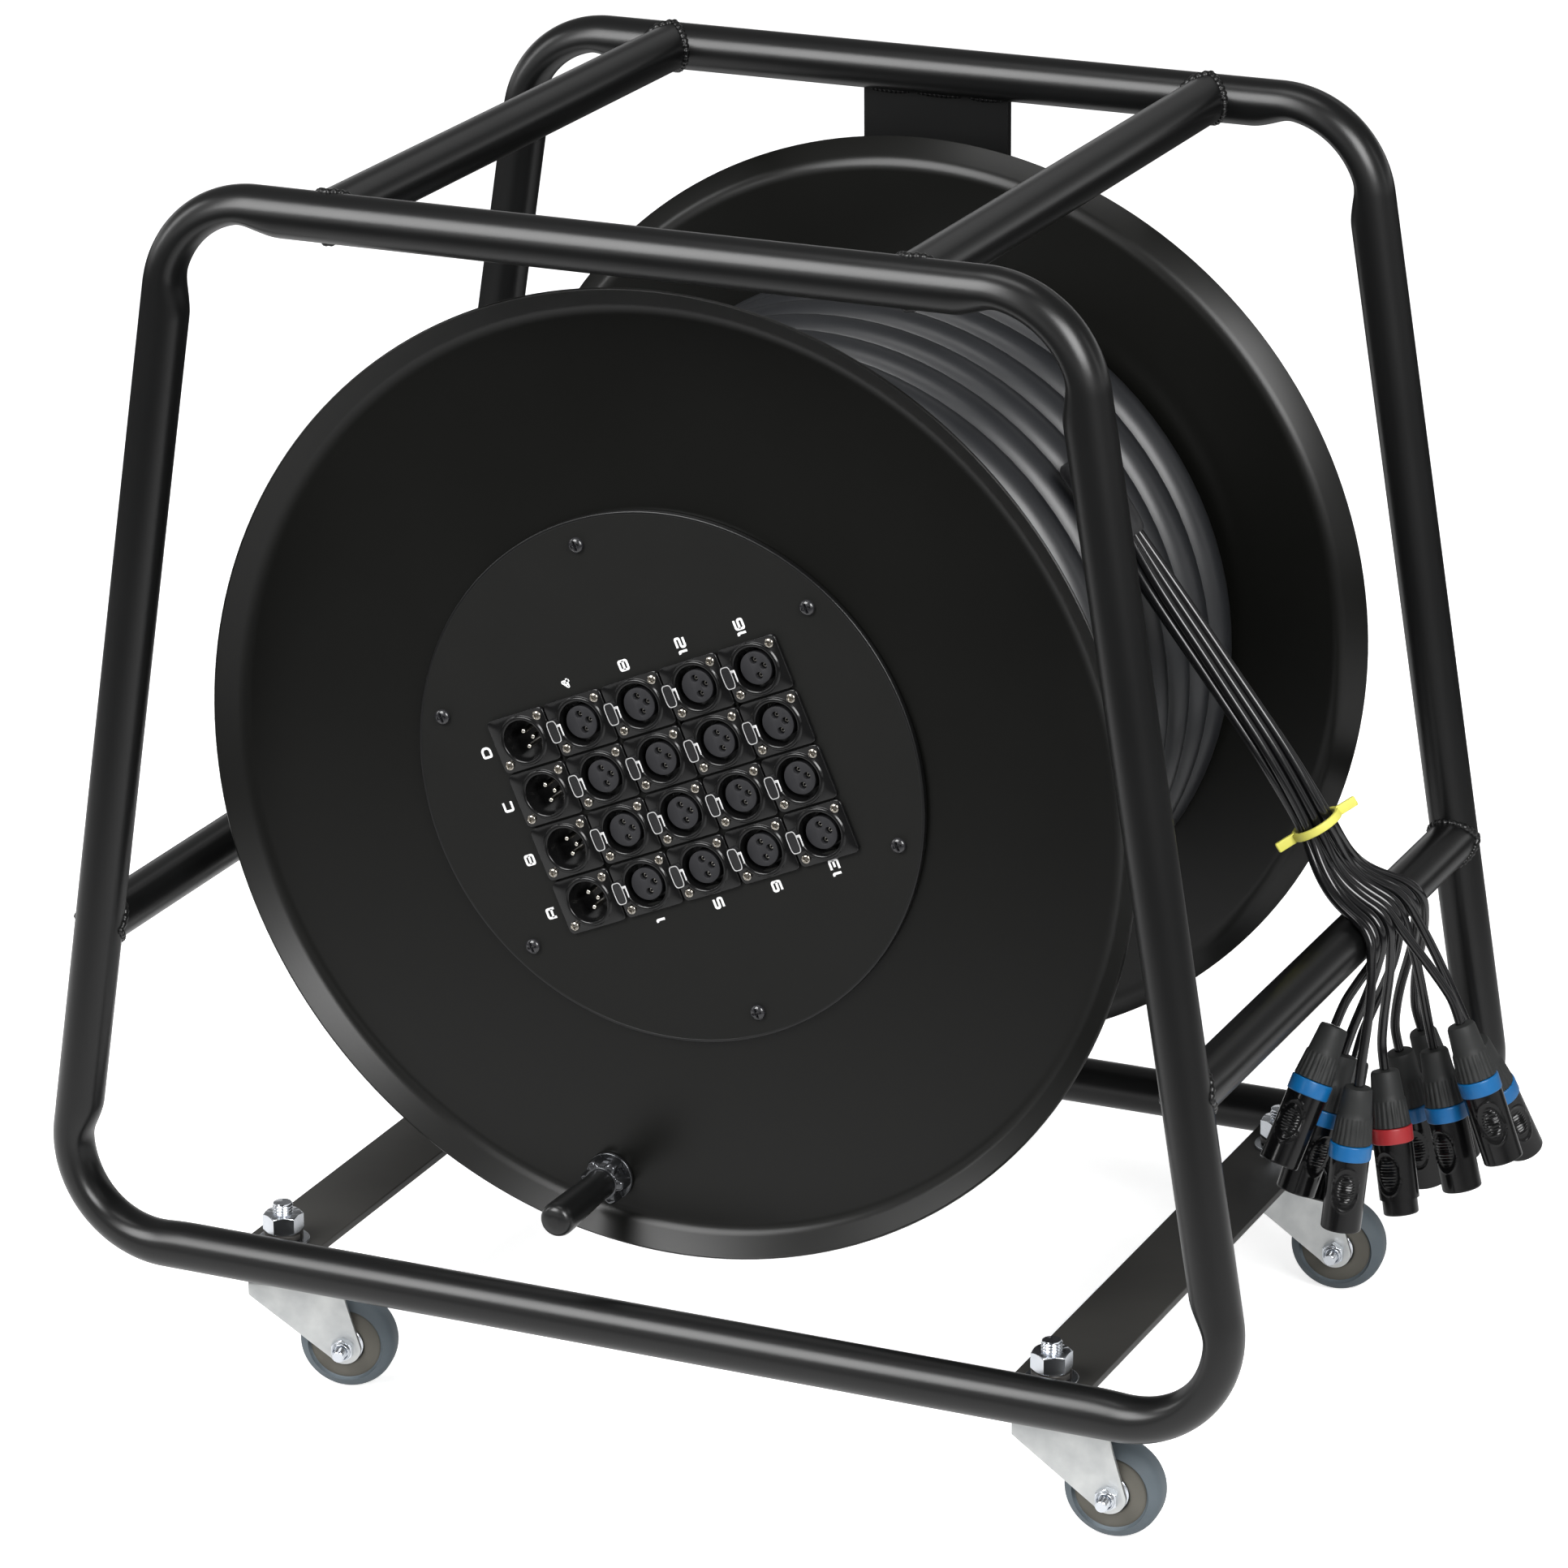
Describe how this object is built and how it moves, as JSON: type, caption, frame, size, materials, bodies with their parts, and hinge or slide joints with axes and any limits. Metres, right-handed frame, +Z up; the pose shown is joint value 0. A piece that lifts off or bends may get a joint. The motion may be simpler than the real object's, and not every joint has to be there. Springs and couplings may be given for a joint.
{
  "type": "multicore cable drum",
  "caption": "Wheeled tube-frame drum: sheet-metal spool wound with multicore cable, round socket panel, crank, and plug tails laid over a crossbar.",
  "frame": {"origin": "on the floor under the middle of the frame", "axes": "+X to the right seen from the socket panel, +Y to the back along the spool's axle, +Z up"},
  "size_m": [0.6538, 0.387, 0.6019],
  "materials": {
    "black_powder_coat": "fine satin powder coat",
    "spool_satin_black": "smooth satin lacquer",
    "bright_zinc": "bright zinc plate",
    "turned_steel": "turned bare steel",
    "grey_rubber_tyre": "matt grey rubber",
    "multicore_jacket": "matt flexible PVC",
    "panel_black": "fine textured black",
    "grip_black": "smooth moulded plastic",
    "tail_jacket": "shiny flexible PVC",
    "yellow_tie": "soft yellow plastic",
    "latch_black": "smooth moulded plastic",
    "connector_black": "smooth moulded plastic"
  },
  "bodies": {
    "frame": {"front_hoop": "black_powder_coat", "rear_hoop": "black_powder_coat", "top_crossbar_left": "black_powder_coat", "top_crossbar_right": "black_powder_coat", "lower_crossbar_left": "black_powder_coat", "lower_crossbar_right": "black_powder_coat", "base_bar_left": "black_powder_coat", "base_bar_right": "black_powder_coat", "rear_upright": "black_powder_coat", "spindle": "turned_steel", "spindle_nut": "bright_zinc", "castor_stud_front_left": "bright_zinc", "castor_stud_front_right": "bright_zinc", "castor_stud_rear_right": "bright_zinc", "castor_stud_rear_left": "bright_zinc", "fanout_tails": "tail_jacket", "bundle_tie": "yellow_tie", "line_connector_01": "connector_black", "line_connector_02": "connector_black", "line_connector_03": "connector_black", "line_connector_04": "connector_black", "line_connector_05": "connector_black", "line_connector_06": "connector_black", "line_connector_07": "connector_black", "line_connector_08": "connector_black", "line_connector_09": "connector_black", "line_connector_10": "connector_black"},
    "drum": {"front_disc": "spool_satin_black", "rear_disc": "spool_satin_black", "core_tube": "spool_satin_black", "inner_cable_layers": "multicore_jacket", "outer_winding": "multicore_jacket", "bearing_hub": "black_powder_coat", "socket_panel": "panel_black", "crank_stud": "bright_zinc"},
    "crank_handle": {"crank_grip": "grip_black"},
    "castor_front_left": {"castor_fork_front_left": "bright_zinc"},
    "wheel_front_left": {"castor_wheel_front_left": "grey_rubber_tyre"},
    "castor_front_right": {"castor_fork_front_right": "bright_zinc"},
    "wheel_front_right": {"castor_wheel_front_right": "grey_rubber_tyre"},
    "castor_rear_right": {"castor_fork_rear_right": "bright_zinc"},
    "wheel_rear_right": {"castor_wheel_rear_right": "grey_rubber_tyre"},
    "castor_rear_left": {"castor_fork_rear_left": "bright_zinc"},
    "wheel_rear_left": {"castor_wheel_rear_left": "grey_rubber_tyre"},
    "latch_01": {"push_latch_01": "latch_black"},
    "latch_02": {"push_latch_02": "latch_black"},
    "latch_03": {"push_latch_03": "latch_black"},
    "latch_04": {"push_latch_04": "latch_black"},
    "latch_05": {"push_latch_05": "latch_black"},
    "latch_06": {"push_latch_06": "latch_black"},
    "latch_07": {"push_latch_07": "latch_black"},
    "latch_08": {"push_latch_08": "latch_black"},
    "latch_09": {"push_latch_09": "latch_black"},
    "latch_10": {"push_latch_10": "latch_black"},
    "latch_11": {"push_latch_11": "latch_black"},
    "latch_12": {"push_latch_12": "latch_black"},
    "latch_13": {"push_latch_13": "latch_black"},
    "latch_14": {"push_latch_14": "latch_black"},
    "latch_15": {"push_latch_15": "latch_black"},
    "latch_16": {"push_latch_16": "latch_black"}
  },
  "joints": [
    {"name": "drum_spin", "type": "hinge", "parent": "frame", "child": "drum", "pos_m": [0, 0, 0.328], "axis": [0, 1, 0], "continuous": true},
    {"name": "crank_grip_spin", "type": "hinge", "parent": "drum", "child": "crank_handle", "pos_m": [-0.03395, -0.15, 0.12512], "axis": [0, 1, 0], "continuous": true},
    {"name": "castor_swivel_front_left", "type": "hinge", "parent": "frame", "child": "castor_front_left", "pos_m": [-0.1985, -0.15, 0.06], "axis": [0, 0, 1], "continuous": true},
    {"name": "wheel_roll_front_left", "type": "hinge", "parent": "castor_front_left", "child": "wheel_front_left", "pos_m": [-0.16842, -0.1425, 0.0234], "axis": [-0.2419, 0.9703, 0], "continuous": true},
    {"name": "castor_swivel_front_right", "type": "hinge", "parent": "frame", "child": "castor_front_right", "pos_m": [0.1985, -0.15, 0.06], "axis": [0, 0, 1], "continuous": true},
    {"name": "wheel_roll_front_right", "type": "hinge", "parent": "castor_front_right", "child": "wheel_front_right", "pos_m": [0.22938, -0.1473, 0.0234], "axis": [-0.0872, 0.9962, 0], "continuous": true},
    {"name": "castor_swivel_rear_right", "type": "hinge", "parent": "frame", "child": "castor_rear_right", "pos_m": [0.1985, 0.15, 0.06], "axis": [0, 0, 1], "continuous": true},
    {"name": "wheel_roll_rear_right", "type": "hinge", "parent": "castor_rear_right", "child": "wheel_rear_right", "pos_m": [0.2292, 0.15431, 0.0234], "axis": [-0.1392, 0.9903, 0], "continuous": true},
    {"name": "castor_swivel_rear_left", "type": "hinge", "parent": "frame", "child": "castor_rear_left", "pos_m": [-0.1985, 0.15, 0.06], "axis": [0, 0, 1], "continuous": true},
    {"name": "wheel_roll_rear_left", "type": "hinge", "parent": "castor_rear_left", "child": "wheel_rear_left", "pos_m": [-0.16807, 0.15591, 0.0234], "axis": [-0.1908, 0.9816, 0], "continuous": true},
    {"name": "latch_press_01", "type": "slide", "parent": "drum", "child": "latch_01", "axis": [0, 1, 0], "range_m": [0, 0.0014], "stiffness_N_per_m": 400},
    {"name": "latch_press_02", "type": "slide", "parent": "drum", "child": "latch_02", "axis": [0, 1, 0], "range_m": [0, 0.0014], "stiffness_N_per_m": 400},
    {"name": "latch_press_03", "type": "slide", "parent": "drum", "child": "latch_03", "axis": [0, 1, 0], "range_m": [0, 0.0014], "stiffness_N_per_m": 400},
    {"name": "latch_press_04", "type": "slide", "parent": "drum", "child": "latch_04", "axis": [0, 1, 0], "range_m": [0, 0.0014], "stiffness_N_per_m": 400},
    {"name": "latch_press_05", "type": "slide", "parent": "drum", "child": "latch_05", "axis": [0, 1, 0], "range_m": [0, 0.0014], "stiffness_N_per_m": 400},
    {"name": "latch_press_06", "type": "slide", "parent": "drum", "child": "latch_06", "axis": [0, 1, 0], "range_m": [0, 0.0014], "stiffness_N_per_m": 400},
    {"name": "latch_press_07", "type": "slide", "parent": "drum", "child": "latch_07", "axis": [0, 1, 0], "range_m": [0, 0.0014], "stiffness_N_per_m": 400},
    {"name": "latch_press_08", "type": "slide", "parent": "drum", "child": "latch_08", "axis": [0, 1, 0], "range_m": [0, 0.0014], "stiffness_N_per_m": 400},
    {"name": "latch_press_09", "type": "slide", "parent": "drum", "child": "latch_09", "axis": [0, 1, 0], "range_m": [0, 0.0014], "stiffness_N_per_m": 400},
    {"name": "latch_press_10", "type": "slide", "parent": "drum", "child": "latch_10", "axis": [0, 1, 0], "range_m": [0, 0.0014], "stiffness_N_per_m": 400},
    {"name": "latch_press_11", "type": "slide", "parent": "drum", "child": "latch_11", "axis": [0, 1, 0], "range_m": [0, 0.0014], "stiffness_N_per_m": 400},
    {"name": "latch_press_12", "type": "slide", "parent": "drum", "child": "latch_12", "axis": [0, 1, 0], "range_m": [0, 0.0014], "stiffness_N_per_m": 400},
    {"name": "latch_press_13", "type": "slide", "parent": "drum", "child": "latch_13", "axis": [0, 1, 0], "range_m": [0, 0.0014], "stiffness_N_per_m": 400},
    {"name": "latch_press_14", "type": "slide", "parent": "drum", "child": "latch_14", "axis": [0, 1, 0], "range_m": [0, 0.0014], "stiffness_N_per_m": 400},
    {"name": "latch_press_15", "type": "slide", "parent": "drum", "child": "latch_15", "axis": [0, 1, 0], "range_m": [0, 0.0014], "stiffness_N_per_m": 400},
    {"name": "latch_press_16", "type": "slide", "parent": "drum", "child": "latch_16", "axis": [0, 1, 0], "range_m": [0, 0.0014], "stiffness_N_per_m": 400}
  ]
}
